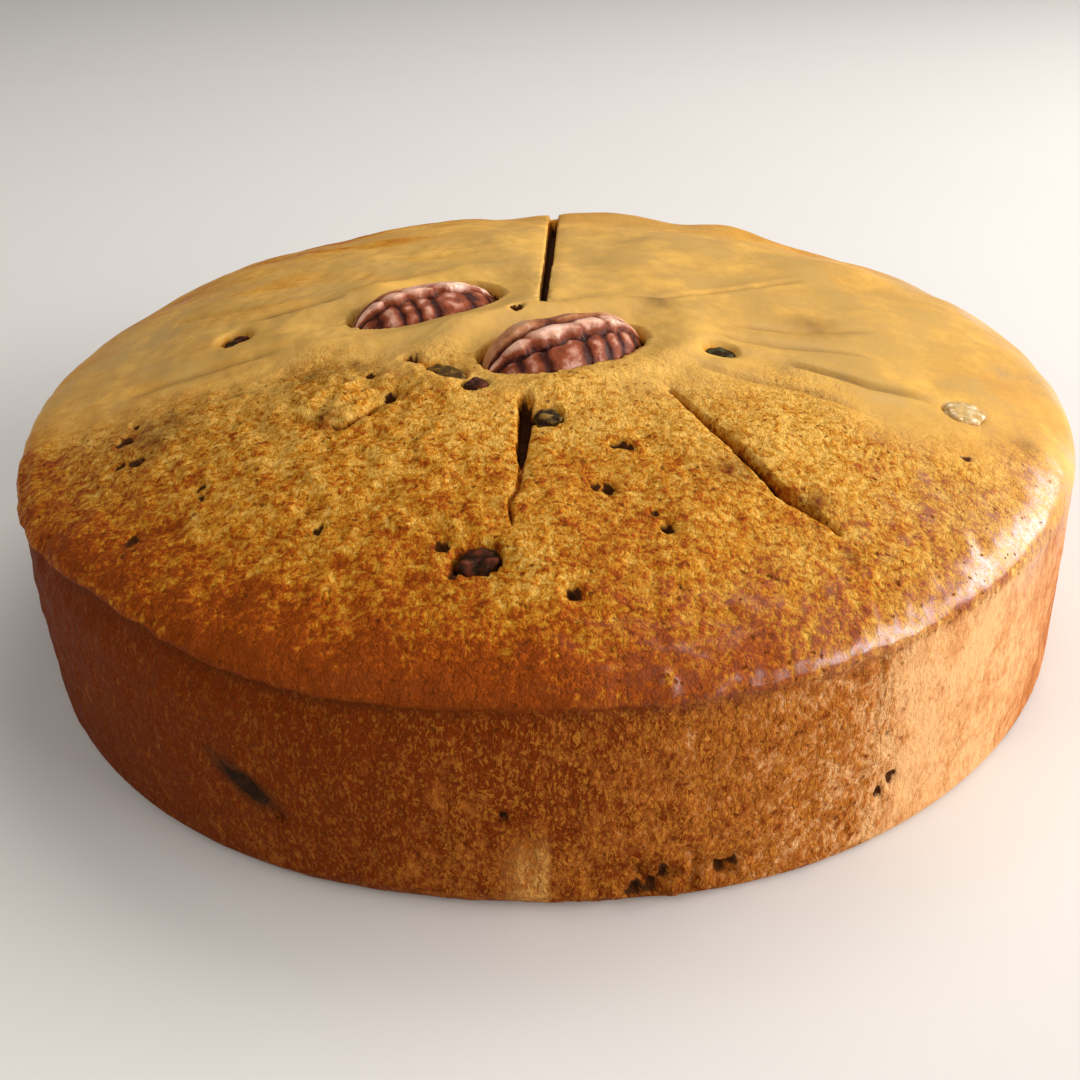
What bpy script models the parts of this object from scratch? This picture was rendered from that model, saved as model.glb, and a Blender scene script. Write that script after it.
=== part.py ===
"""Whole round fruitcake with two pecan halves pressed into its crown.

Metres, +Z up. The origin is the centre of the flat base, and -Y is the side that faces the viewer.
The cake is one solid. Every nut and piece of fruit that shows is a solid of its own, set in a pocket.
"""

import bisect
import math

import bpy
from mathutils import Matrix, Vector, noise

MM = 0.001

# The cake: baked in a round tin 200 mm across, and shrunk a little from its wall
CAKE_RADIUS = 98.4 * MM
MIDDLE = (-1.65 * MM, 0.0)  # the round's own middle, which isn't quite the middle of its box
ROUNDNESS = ((2, -0.0075, 0.0095), (3, 0.0090, -0.0005), (4, 0.0010, 0.0025))  # waves, cos and sin shares
CREASE_HEIGHT = 36 * MM  # the dough stood against the tin up to here, and rose freely above it
CROWN_RISE = 21.2 * MM  # from the crease to the middle of the top
CROWN_POWER = 0.607  # 0.5 would be an ellipsoid, and more is lower with a softer shoulder
POWER_LEFT = 0.107  # the shoulder is lower on the left by this and fuller on the right
POWER_BACK = -0.055  # and fuller at the back
LIP_BULGE = 0.5 * MM  # how far the free dough swelled out over the side
LIP_RISE = 6 * MM  # height of the fullest part of that swell above the crease
LIP_SPREAD = 4.5 * MM
CREASE_DEPTH = 0.8 * MM
FOOT_ROUNDING = 1.3 * MM
FRONT_FOOT = 3.2 * MM  # more of it where the foot has lifted at the front
MEAN_TAPER = 0.0025  # share of the radius lost from crease to foot
LEAN_TAPER = -0.0195  # less of it than that on the right, and more on the left
SWELLS = ((34 * MM, 0.8 * MM), (13 * MM, 0.4 * MM))  # size and height of the crown's uneven rises
# Single rises and dips of the crown: (x, y), height and spread in mm
LUMPS = (
    ((-12, 80), -1.1, 9),
    ((14, 79), 1.1, 11),
    ((44, 70), 1.4, 9),
    ((62, 57), -1.5, 12),
    ((-76, 49), 1.3, 9),
    ((87, 26), 0.7, 8),
    ((-38, -39), 1.0, 8),
)

# Mesh fineness
GRID_HALF = 22  # quads from the middle of the crown to its rim
SIDE_ROWS = (0.93, 0.72, 0.48, 0.25)  # shares of the crease height

# Knife cuts in the crown, from the middle outwards: points in mm, width in mm at each, and depth in mm
CUTS = {
    "cut_back": (((-2.1, -3.2), (-0.8, 26.8), (0.3, 60.0), (0.9, 86.0)), (1.6, 2.3, 2.6, 2.2), 11.0),
    "cut_front": (((-5.2, -40.2), (-5.5, -48.0), (-5.9, -57.0), (-6.5, -70.2)), (3.2, 2.6, 1.4, 0.7), 8.0),
    "cut_right_front": (
        ((18.9, -35.9), (24.7, -45.8), (29.3, -54.0), (33.5, -61.2), (38.2, -65.0), (40.9, -67.8)),
        (1.0, 1.6, 1.9, 2.0, 1.6, 0.8),
        9.0,
    ),
    "cut_right": (((38.5, -23.1), (50.1, -28.1), (64.0, -30.6)), (0.9, 1.1, 0.8), 2.0),
    "cut_right_back": (((10.2, -1.1), (23.6, 4.0), (37.6, 11.1), (48.9, 18.1)), (0.9, 1.1, 1.1, 0.8), 1.8),
    "cut_left": (
        ((-26.5, -37.3), (-30.0, -41.9), (-33.8, -45.4), (-40.9, -45.6)),
        (1.5, 1.2, 1.0, 0.7),
        2.6,
    ),
    "cut_left_back": (((-60.5, 7.4), (-67.5, 10.5), (-74.4, 13.5)), (0.8, 1.2, 0.8), 2.0),
}
CUT_FLOOR_SHARE = 0.3  # width of a cut's floor, as a share of its width at the crust
ABOVE_CRUST = 12 * MM  # how far a cutter stands out of the crust

# Pecan halves: middle (x, y), length, width and thickness in mm, turn about Z and roll in degrees,
# and how far the back of the nut stands out of the crust in mm
PECANS = {
    "pecan_left": ((-23.6, -1.0), 30.4, 15.5, 8.8, 27.5, 0.0, 2.6),
    "pecan_right": ((1.6, -20.8), 31.2, 17.0, 10.0, 26.7, 2.0, 4.4),
}
PECAN_RINGS = 22
PECAN_SIDES = 20
PECAN_BELLY = 0.9 * MM  # depth of the slightly rounded flat face under the rim
GROOVE_DEPTH = 1.7 * MM  # the two long grooves down a pecan's back
GROOVE_PLACE = 0.36  # share of the half width
GROOVE_SPREAD = 0.13
FOLD_HEIGHT = 0.5 * MM  # the cross folds of the outer lobes
FOLD_COUNT = 4.5
POCKET_GAP = 0.5 * MM  # clear space under and over a nut in its pocket
POCKET_SLACK = (1.3 * MM, 0.7 * MM)  # more of it at the ends and the sides, where the dough drew back
POCKET_RINGS = 16
POCKET_SIDES = 20

# Fruit set flush in the top crust: (x, y), length, width, thickness in mm, turn in degrees,
# and how far its middle lies under the crust in mm
TOP_FRUIT = {
    "raisin_1": ((-18.4, -29.8), 9.4, 5.2, 4.2, -42.0, 1.9),
    "raisin_2": ((-13.3, -35.5), 5.4, 4.4, 4.0, 60.0, 1.6),
    "raisin_3": ((-1.4, -44.2), 5.6, 4.6, 4.0, 10.0, 2.0),
    "raisin_4": ((-11.5, -76.8), 7.6, 6.0, 4.6, 15.0, 2.8),
    "raisin_5": ((28.6, -21.0), 6.8, 5.0, 4.0, 5.0, 2.1),
    "raisin_6": ((-58.9, -6.2), 6.4, 5.2, 4.4, 35.0, 2.8),
    "peel": ((69.6, -31.1), 8.4, 6.8, 3.2, 20.0, 0.9),
}
# Fruit in the side: direction in degrees from +X and height in mm, then as above
SIDE_FRUIT = {
    "date": ((-116.0, 16.4), 13.0, 4.6, 4.0, -31.0, 1.7),
}
# Bubbles that broke the crust. On the crown: (x, y), width and depth in mm
CROWN_PITS = (
    ((1.9, -83.7), 2.8, 1.8),
    ((16.6, -72.6), 2.6, 1.8),
    ((11.3, -52.1), 3.0, 1.8),
    ((7.5, -62.1), 2.2, 1.4),
    ((-17.6, -76.1), 2.8, 1.8),
    ((-24.8, -24.0), 2.6, 1.8),
    ((-70.2, -44.5), 2.8, 1.6),
)
# On the side: direction in degrees and height in mm, width and depth in mm
SIDE_PITS = (
    ((-82.4, 5.8), 5.0, 2.6),
    ((-75.0, 5.2), 4.4, 2.4),
    ((-58.4, 11.2), 3.0, 1.6),
    ((-112.6, 12.6), 3.0, 2.4),
)
PIT_SIDES = 10
PIT_RINGS = 6
FRUIT_RINGS = 8
FRUIT_SIDES = 12
WRINKLE_SIZE = 2.6 * MM
WRINKLE_HEIGHT = 0.28 * MM
PIT_GAP = 0.4 * MM

# Name, colour, roughness and metallic value of each finish
CRUST = ("crust", (0.36, 0.16, 0.042), 0.55, 0.0)
PECAN = ("pecan", (0.23, 0.075, 0.035), 0.38, 0.0)
RAISIN = ("raisin", (0.075, 0.028, 0.012), 0.35, 0.0)
PEEL = ("candied_peel", (0.62, 0.40, 0.17), 0.22, 0.0)


def clear_scene():
    for thing in list(bpy.data.objects):
        bpy.data.objects.remove(thing, do_unlink=True)


def finish(settings):
    """The material with these settings, made once."""
    name, colour, roughness, metallic = settings
    made = bpy.data.materials.get(name)
    if made is None:
        made = bpy.data.materials.new(name)
        made.use_nodes = True
        shader = made.node_tree.nodes["Principled BSDF"]
        shader.inputs["Base Color"].default_value = (*colour, 1.0)
        shader.inputs["Roughness"].default_value = roughness
        shader.inputs["Metallic"].default_value = metallic
    return made


def solid(name, points, faces, settings, smooth_angle=math.radians(35)):
    """A mesh object with one finish, from its points and faces."""
    mesh = bpy.data.meshes.new(name)
    mesh.from_pydata(points, [], faces)
    mesh.validate()
    made = bpy.data.objects.new(name, mesh)
    bpy.context.scene.collection.objects.link(made)
    mesh.materials.append(finish(settings))
    mesh.shade_smooth()
    mesh.set_sharp_from_angle(angle=smooth_angle)
    return made


def bell(value, spread):
    """1 at 0, falling smoothly away on both sides."""
    return math.exp(-((value / spread) ** 2))


# The cake's outline and surface


def rim_radius(angle):
    waves = sum(a * math.cos(n * angle) + b * math.sin(n * angle) for n, a, b in ROUNDNESS)
    return CAKE_RADIUS * (1 + waves)


def side_radius(angle, height):
    """The tin's side: a slight taper that leans, a crease at its top and a rounded foot."""
    taper = MEAN_TAPER + LEAN_TAPER * math.cos(angle)
    radius = rim_radius(angle) * (1 - taper * (1 - height / CREASE_HEIGHT))
    radius -= CREASE_DEPTH * bell(height - CREASE_HEIGHT, 3 * MM)
    rounding = FOOT_ROUNDING + FRONT_FOOT * bell(angle + math.radians(94), 0.33)
    if height < rounding:
        drop = rounding - height
        radius -= rounding - math.sqrt(max(0.0, rounding**2 - drop**2))
    return radius


def side_point(angle, height):
    radius = side_radius(angle, height)
    return Vector((MIDDLE[0] + radius * math.cos(angle), MIDDLE[1] + radius * math.sin(angle), height))


def swell(x, y):
    """The crown's uneven rises and hollows."""
    total = sum(
        height * noise.noise(Vector((x / size, y / size, size / MM)))
        for size, height in SWELLS
    )
    for (lump_x, lump_y), height, spread in LUMPS:
        away = math.hypot(x / MM - lump_x, y / MM - lump_y)
        total += height * MM * bell(away, spread)
    return total


def crown_power(angle):
    return CROWN_POWER - POWER_LEFT * math.cos(angle) * abs(math.cos(angle)) + POWER_BACK * math.sin(angle)


def crown_height(x, y):
    """Height of the top crust over a place in the plan."""
    east, north = x - MIDDLE[0], y - MIDDLE[1]
    angle = math.atan2(north, east)
    share = math.hypot(east, north) / rim_radius(angle)
    flat = max(0.0, 1 - share * share)
    return CREASE_HEIGHT + CROWN_RISE * flat ** crown_power(angle) + swell(x, y) * min(1.0, 3 * flat)


def crown_normal(x, y):
    step = 0.5 * MM
    slope_x = (crown_height(x + step, y) - crown_height(x - step, y)) / (2 * step)
    slope_y = (crown_height(x, y + step) - crown_height(x, y - step)) / (2 * step)
    return Vector((-slope_x, -slope_y, 1)).normalized()


def crown_arc(steps=300):
    """The crown's profile from its middle to its rim, as (length so far, share of the radius)."""
    arc = [(0.0, 0.0)]
    last = (0.0, CROWN_RISE)
    for step in range(1, steps + 1):
        turn = math.pi / 2 * step / steps
        share = math.sin(turn)
        here = (CAKE_RADIUS * share, CROWN_RISE * math.cos(turn) ** (2 * CROWN_POWER))
        arc.append((arc[-1][0] + math.dist(last, here), share))
        last = here
    return arc


CROWN_ARC = crown_arc()


def radius_share(arc_share):
    """The share of the radius at a share of the way along the profile."""
    target = arc_share * CROWN_ARC[-1][0]
    after = min(bisect.bisect_left(CROWN_ARC, (target,)), len(CROWN_ARC) - 1)
    before = max(after - 1, 0)
    (low, share_low), (high, share_high) = CROWN_ARC[before], CROWN_ARC[after]
    mix = (target - low) / (high - low) if high > low else 0.0
    return share_low + mix * (share_high - share_low)


def crown_point(arc_share, angle):
    radius = rim_radius(angle) * radius_share(arc_share)
    east, north = radius * math.cos(angle), radius * math.sin(angle)
    if arc_share > 0.9999:
        z = CREASE_HEIGHT
    else:
        z = crown_height(MIDDLE[0] + east, MIDDLE[1] + north)
    above = z - CREASE_HEIGHT - LIP_RISE
    out = 1 + LIP_BULGE * bell(above, LIP_SPREAD) / CAKE_RADIUS
    return MIDDLE[0] + east * out, MIDDLE[1] + north * out, z


def disc_place(column, row, half):
    """A square grid laid on a disc: (share of the radius, angle) of a grid point."""
    across, along = column / half, row / half
    if column == row == 0:
        return 0.0, 0.0
    if abs(across) > abs(along):
        share, angle = across, math.pi / 4 * along / across
    else:
        share, angle = along, math.pi / 2 - math.pi / 4 * across / along
    return abs(share), angle if share > 0 else angle + math.pi


def grid_rim(half):
    """The grid's outer points in order, anticlockwise from its lower right corner."""
    line = range(-half, half)
    return (
        [(half, k) for k in line]
        + [(-k, half) for k in line]
        + [(-half, -k) for k in line]
        + [(k, -half) for k in line]
    )


def cake_body():
    """The plain cake before anything is cut into it: crown grid, side rows and one flat base."""
    half = GRID_HALF
    places = [(i, j) for i in range(-half, half + 1) for j in range(-half, half + 1)]
    index = {place: n for n, place in enumerate(places)}
    points = [crown_point(*disc_place(i, j, half)) for i, j in places]
    faces = [
        (index[i, j], index[i + 1, j], index[i + 1, j + 1], index[i, j + 1])
        for i in range(-half, half)
        for j in range(-half, half)
    ]
    rim = grid_rim(half)
    ring = [index[place] for place in rim]
    angles = [disc_place(i, j, half)[1] for i, j in rim]
    foot = [FOOT_ROUNDING + 0.5 * FRONT_FOOT, 0.3 * FOOT_ROUNDING, 0.0]
    for height in [CREASE_HEIGHT * share for share in SIDE_ROWS] + foot:
        start = len(points)
        points += [side_point(angle, height) for angle in angles]
        lower = [start + k for k in range(len(rim))]
        for k in range(len(rim)):
            after = (k + 1) % len(rim)
            faces.append((ring[k], lower[k], lower[after], ring[after]))
        ring = lower
    faces.append(tuple(reversed(ring)))
    return solid("cake", points, faces, CRUST)


# Cutters


def cut_from(target, cutter):
    cutter.hide_render = True
    cutter.display_type = "WIRE"
    knife = target.modifiers.new(cutter.name, "BOOLEAN")
    knife.operation = "DIFFERENCE"
    knife.solver = "EXACT"
    knife.object = cutter


def knife_blade(name, route, widths, depth):
    """A blade that follows a route over the crown: straight above the crust, narrowing below it."""
    points, faces = [], []
    stations = [Vector((x * MM, y * MM)) for x, y in route]
    for k, here in enumerate(stations):
        before, after = stations[max(k - 1, 0)], stations[min(k + 1, len(stations) - 1)]
        along = (after - before).normalized()
        across = Vector((-along.y, along.x))
        half = widths[k] * MM / 2
        crust = crown_height(here.x, here.y)
        section = (
            (-half, crust + ABOVE_CRUST),
            (half, crust + ABOVE_CRUST),
            (half, crust),
            (half * CUT_FLOOR_SHARE, crust - depth * MM),
            (-half * CUT_FLOOR_SHARE, crust - depth * MM),
            (-half, crust),
        )
        points += [(*(here + across * side), z) for side, z in section]
    size = 6
    for k in range(len(stations) - 1):
        for side in range(size):
            after = (side + 1) % size
            low, high = k * size, (k + 1) * size
            faces.append((low + side, high + side, high + after, low + after))
    faces.append(tuple(range(size)))
    faces.append(tuple(reversed(range(len(points) - size, len(points)))))
    return solid(name, points, faces, CRUST)


def ring_solid(name, rings, settings):
    """A closed form from rings of points between two end points."""
    first, middle, last = rings[0], rings[1:-1], rings[-1]
    size = len(middle[0])
    points = [first] + [point for ring in middle for point in ring] + [last]
    faces = [(0, 1 + (k + 1) % size, 1 + k) for k in range(size)]
    for ring in range(len(middle) - 1):
        start = 1 + ring * size
        for k in range(size):
            after = (k + 1) % size
            faces.append((start + k, start + after, start + size + after, start + size + k))
    start, end = 1 + (len(middle) - 1) * size, len(points) - 1
    faces += [(start + k, start + (k + 1) % size, end) for k in range(size)]
    return solid(name, points, faces, settings, math.radians(60))


# Pecan halves


def pecan_half_width(along, width):
    """Half the nut's width at along, from -1 at its blunt end to 1 at its point."""
    return width / 2 * (1 - abs(along) ** 2.5) ** 0.55 * (1 - 0.10 * along)


def pecan_back(along, across, thickness):
    """Height of the nut's back over its flat face: an arch with two long grooves and cross folds."""
    arch = math.sqrt(max(0.0, 1 - across * across)) ** 0.8
    ends = max(0.0, 1 - abs(along) ** 3) ** 0.5
    height = thickness * arch * ends
    grooves = bell(abs(across) - GROOVE_PLACE, GROOVE_SPREAD)
    height -= GROOVE_DEPTH * grooves * max(0.0, 1 - along**4)
    outer = min(1.0, max(0.0, (abs(across) - GROOVE_PLACE) / 0.25))
    side = 1.3 if across > 0 else 0.0
    fold = math.sin(FOLD_COUNT * math.pi * along + side)
    return height + FOLD_HEIGHT * fold * outer * ends * arch


def pecan_section(along, length, width, thickness):
    """One ring of the nut: over its back, then under along its flat face."""
    half = pecan_half_width(along, width)
    ring = []
    for k in range(PECAN_SIDES):
        turn = 2 * math.pi * k / PECAN_SIDES
        across = math.cos(turn)
        if turn <= math.pi:
            height = max(0.05 * MM, pecan_back(along, across, thickness))
        else:
            height = -PECAN_BELLY * math.sin(2 * math.pi - turn) * (1 - along**4)
        ring.append((length / 2 * along, half * across, height))
    return ring


def pecan_placing(middle, thickness, turn, roll, stands_out):
    """The nut's own frame: its length along X, its back up, and the middle of its flat face at 0."""
    x, y = middle[0] * MM, middle[1] * MM
    floor = crown_height(x, y) + stands_out * MM - thickness
    return (
        Matrix.Translation((x, y, floor))
        @ Matrix.Rotation(math.radians(turn), 4, "Z")
        @ Matrix.Rotation(math.radians(roll), 4, "X")
    )


def pecan(name, middle, length, width, thickness, turn, roll, stands_out):
    length, width, thickness = length * MM, width * MM, thickness * MM
    stations = [-math.cos(math.pi * k / PECAN_RINGS) for k in range(1, PECAN_RINGS)]
    rings = [(-length / 2, 0.0, 0.0)]
    rings += [pecan_section(along, length, width, thickness) for along in stations]
    rings += [(length / 2, 0.0, 0.0)]
    nut = ring_solid(name, rings, PECAN)
    nut.matrix_world = pecan_placing(middle, thickness, turn, roll, stands_out)
    return nut


def pecan_pocket(name, middle, length, width, thickness, turn, roll, stands_out):
    """The hollow that the nut sits in: the nut's smooth envelope, a little larger all round."""
    slack_along, slack_across = POCKET_SLACK
    reach = length * MM / 2 + slack_along
    rings = [(-reach, 0.0, 0.0)]
    for k in range(1, POCKET_RINGS):
        along = -math.cos(math.pi * k / POCKET_RINGS)
        half = pecan_half_width(along, width * MM) + slack_across
        shrink = (1 - along**4) ** 0.5
        ring = []
        for side in range(POCKET_SIDES):
            turned = 2 * math.pi * side / POCKET_SIDES
            across, lift = math.cos(turned), math.sin(turned)
            if lift >= 0:
                height = (thickness * MM + FOLD_HEIGHT + POCKET_GAP) * lift**0.8
            else:
                height = (PECAN_BELLY + POCKET_GAP) * lift
            ring.append((reach * along, half * across, height * shrink))
        rings.append(ring)
    rings.append((reach, 0.0, 0.0))
    pocket = ring_solid(name, rings, CRUST)
    pocket.matrix_world = pecan_placing(middle, thickness * MM, turn, roll, stands_out)
    return pocket


# Fruit


def fruit_rings(length, width, thickness, gap, top_stretch, wrinkled):
    """Rings of a wrinkled oval from its underside up. top_stretch lengthens its upper half."""
    semi = (length / 2 + gap, width / 2 + gap, thickness / 2 + gap)
    rings = [(0.0, 0.0, -semi[2])]
    for k in range(1, FRUIT_RINGS):
        lift = -math.pi / 2 + math.pi * k / FRUIT_RINGS
        ring = []
        for side in range(FRUIT_SIDES):
            turn = 2 * math.pi * side / FRUIT_SIDES
            level = math.cos(lift)
            facing = Vector((level * math.cos(turn), level * math.sin(turn), math.sin(lift)))
            point = Vector(a * b for a, b in zip(facing, semi))
            if wrinkled:
                seed = Vector((length, width, 0)) / MM
                point -= facing * WRINKLE_HEIGHT * (1 + noise.noise(point / WRINKLE_SIZE + seed))
            if point.z > 0:
                point.z *= top_stretch
            ring.append(tuple(point))
        rings.append(ring)
    rings.append((0.0, 0.0, semi[2] * top_stretch))
    return rings


def pit(cake, name, place, normal, width, depth):
    """One open bubble in the crust."""
    half, deep = width * MM / 2, depth * MM
    rings = [(0.0, 0.0, -deep)]
    for k in range(1, PIT_RINGS):
        lift = -math.pi / 2 + math.pi * k / PIT_RINGS
        reach = half * math.cos(lift)
        sides = [2 * math.pi * side / PIT_SIDES for side in range(PIT_SIDES)]
        rings.append([(reach * math.cos(t), reach * math.sin(t), deep * math.sin(lift)) for t in sides])
    rings.append((0.0, 0.0, deep))
    bubble = ring_solid(name, rings, CRUST)
    bubble.matrix_world = facing_frame(place, normal, 0.0)
    cut_from(cake, bubble)


def facing_frame(place, normal, turn):
    """A frame at place with its Z along normal, and its X turned from the viewer's right."""
    rightward = Vector((1, 0, 0)) if normal.z > 0.5 else Vector((-normal.y, normal.x, 0))
    forward = normal.cross(rightward).normalized()
    rightward = forward.cross(normal)
    axes = Matrix((rightward, forward, normal)).transposed().to_4x4()
    return Matrix.Translation(place) @ axes @ Matrix.Rotation(math.radians(turn), 4, "Z")


def set_fruit(cake, name, place, normal, length, width, thickness, turn, sunk, settings):
    """One piece of fruit in the crust, and the open pit that holds it."""
    sizes = (length * MM, width * MM, thickness * MM)
    frame = facing_frame(place - normal * sunk * MM, normal, turn)
    fruit = ring_solid(name, fruit_rings(*sizes, 0.0, 1.0, True), settings)
    fruit.matrix_world = frame
    pit = ring_solid(name + "_pit", fruit_rings(*sizes, PIT_GAP, 3.0, False), CRUST)
    pit.matrix_world = frame
    cut_from(cake, pit)


def crown_place(x, y):
    """A place on the top crust and the way it faces."""
    x, y = x * MM, y * MM
    return Vector((x, y, crown_height(x, y))), crown_normal(x, y)


def side_place(direction, height):
    """A place on the side crust and the way it faces."""
    angle = math.radians(direction)
    return side_point(angle, height * MM), Vector((math.cos(angle), math.sin(angle), 0))


def main():
    clear_scene()
    cake = cake_body()
    for name, nut in PECANS.items():
        pecan(name, *nut)
        cut_from(cake, pecan_pocket(name + "_pocket", *nut))
    for name, (route, widths, depth) in CUTS.items():
        cut_from(cake, knife_blade(name, route, widths, depth))
    for name, (middle, *sizes) in TOP_FRUIT.items():
        settings = PEEL if name == "peel" else RAISIN
        set_fruit(cake, name, *crown_place(*middle), *sizes, settings)
    for name, (middle, *sizes) in SIDE_FRUIT.items():
        set_fruit(cake, name, *side_place(*middle), *sizes, RAISIN)
    for number, (middle, *sizes) in enumerate(CROWN_PITS):
        pit(cake, f"crown_pit_{number}", *crown_place(*middle), *sizes)
    for number, (middle, *sizes) in enumerate(SIDE_PITS):
        pit(cake, f"side_pit_{number}", *side_place(*middle), *sizes)


main()
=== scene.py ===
"""Looks of a whole round fruitcake with two pecan halves in its crown.

The baked crust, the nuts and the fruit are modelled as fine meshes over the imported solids, and each
gets a procedural finish. Shapes are worked out in millimetres and written to the meshes in metres.
"""

import math

import bpy
import numpy as np
from bpy.props import FloatProperty, FloatVectorProperty, IntProperty, PointerProperty
from mathutils import Matrix, Vector, noise


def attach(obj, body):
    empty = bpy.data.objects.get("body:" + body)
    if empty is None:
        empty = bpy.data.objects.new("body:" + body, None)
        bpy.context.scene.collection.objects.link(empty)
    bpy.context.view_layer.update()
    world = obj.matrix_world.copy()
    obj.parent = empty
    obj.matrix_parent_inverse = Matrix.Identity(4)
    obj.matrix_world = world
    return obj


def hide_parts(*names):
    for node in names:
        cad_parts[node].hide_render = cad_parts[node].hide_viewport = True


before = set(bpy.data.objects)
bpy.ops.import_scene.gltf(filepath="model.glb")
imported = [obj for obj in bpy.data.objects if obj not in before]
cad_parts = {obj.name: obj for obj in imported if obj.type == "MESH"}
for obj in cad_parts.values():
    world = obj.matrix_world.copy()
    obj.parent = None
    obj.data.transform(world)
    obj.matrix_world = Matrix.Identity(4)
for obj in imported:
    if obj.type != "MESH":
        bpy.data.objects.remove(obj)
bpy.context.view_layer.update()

bl_info = {
    "name": "Fruitcake",
    "version": (1, 0, 0),
    "blender": (4, 5, 0),
    "location": "3D View > Sidebar > Fruitcake",
    "description": "Crust, nuts, fruit and stage of a whole round fruitcake",
    "category": "Add Mesh",
}

MM = 0.001
BODY = "root"

# The cake's form in mm, as its solid has it
RADIUS = 98.4
MIDDLE = (-1.65, 0.0)
ROUNDNESS = ((2, -0.0075, 0.0095), (3, 0.0090, -0.0005), (4, 0.0010, 0.0025))
CREASE_HEIGHT = 36.0
CROWN_RISE = 21.2
CROWN_POWER = 0.607
POWER_LEFT = 0.107
POWER_BACK = -0.055
LIP_RISE = 3.4
LIP_SPREAD = 2.8
FOOT_ROUNDING = 1.3
FRONT_FOOT = 3.2
FRONT_FOOT_AT = math.radians(-94)
FRONT_FOOT_SPREAD = 0.33
MEAN_TAPER = 0.0025
LEAN_TAPER = -0.0195
SWELLS = ((34.0, 0.8), (13.0, 0.4))
LUMPS = (
    ((-12, 80), -1.1, 9),
    ((14, 79), 1.1, 11),
    ((44, 70), 1.4, 9),
    ((62, 57), -1.5, 12),
    ((-76, 49), 1.3, 9),
    ((87, 26), 0.7, 8),
    ((-38, -39), 1.0, 8),
)

# Knife cuts and creases in the crown, from the middle outwards: route, width at each point and depth
CUTS = (
    (((-2.1, -3.2), (-0.8, 26.8), (0.3, 60.0), (0.9, 86.0)), (1.6, 2.2, 2.4, 2.0), 5.5),
    (((-5.0, -40.2), (-5.1, -48.0), (-5.5, -55.0)), (2.9, 2.5, 1.6), 3.8),
    (((-5.2, -53.0), (-5.8, -62.0), (-7.2, -66.0), (-6.7, -70.2)), (1.2, 0.8, 0.7, 0.4), 1.2),
    (
        ((18.9, -35.9), (24.7, -45.8), (29.3, -54.0), (33.5, -61.2), (38.2, -65.0), (40.9, -67.8)),
        (1.2, 2.0, 2.4, 2.4, 1.9, 0.8),
        3.6,
    ),
    (((-26.5, -37.3), (-30.0, -41.9), (-33.8, -45.4)), (1.7, 1.2, 1.2), 2.2),
    (((-33.8, -45.4), (-38.0, -45.0), (-42.5, -42.5)), (2.2, 2.4, 2.0), 0.9),
    (((-58.0, 8.0), (-67.5, 10.5), (-74.4, 13.5)), (1.6, 2.4, 1.6), 0.9),
    (((-25.6, -25.0), (-21.0, -28.0)), (2.4, 2.6), 1.3),
)
CREASES = (
    (((36.8, -22.7), (44.0, -25.4), (53.0, -29.3), (62.9, -29.4), (65.8, -32.0)), 1.5, 0.75),
    (((10.2, -1.1), (19.8, -0.2), (31.9, 7.3), (51.6, 19.9)), 1.3, 0.4),
    (((21.2, -25.9), (30.2, -30.0), (40.9, -32.3), (52.0, -38.0)), 2.0, 0.45),
    (((28.0, -9.5), (44.0, -10.0), (60.0, -6.5)), 2.4, 0.4),
    (((26.0, -15.0), (40.0, -17.5), (57.0, -18.5)), 2.2, 0.4),
    (((-80.0, -22.0), (-62.0, -18.0), (-46.0, -17.0)), 2.6, 0.5),
    (((-64.0, -31.0), (-50.0, -30.5), (-42.0, -33.0)), 1.8, 0.4),
    (((-60.0, 0.0), (-46.0, 3.5), (-38.0, 5.0)), 3.0, 0.7),
)

# Pecan halves: middle, length, width, thickness, turn and roll in degrees, height out of the crust
PECANS = {
    "pecan_left": ((-23.6, -1.0), 30.4, 15.5, 8.8, 27.5, 0.0, 2.6),
    "pecan_right": ((1.6, -20.8), 31.2, 17.0, 10.0, 26.7, 2.0, 4.4),
}

# Places of each nut's two long grooves, as shares of its half width: the near one, then the far one
PECAN_CLEFTS = {"pecan_left": (-0.05, 0.42), "pecan_right": (-0.38, 0.06)}

# Fruit in the crown: middle, length, width, thickness, turn in degrees, depth of its middle, kind
CROWN_FRUIT = {
    "raisin_1": ((-18.4, -29.8), 9.4, 5.2, 4.2, -42.0, 1.9, "amber"),
    "raisin_2": ((-13.3, -35.5), 5.4, 4.4, 4.4, 60.0, 1.2, "dark"),
    "raisin_3": ((-1.4, -44.2), 5.6, 4.6, 4.0, 10.0, 1.6, "black"),
    "raisin_4": ((-11.5, -76.8), 7.6, 6.0, 4.6, 15.0, 2.8, "dark"),
    "raisin_5": ((28.6, -21.0), 6.8, 5.0, 4.0, 5.0, 2.1, "olive"),
    "raisin_6": ((-58.9, -6.2), 6.4, 5.2, 4.4, 35.0, 2.8, "dark"),
}
PEEL = ((69.6, -31.1), 8.4, 6.8, 3.2, 20.0, 0.9)
DATE = ((-116.0, 16.4), 13.0, 4.6, 4.0, -31.0, 1.7)

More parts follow.
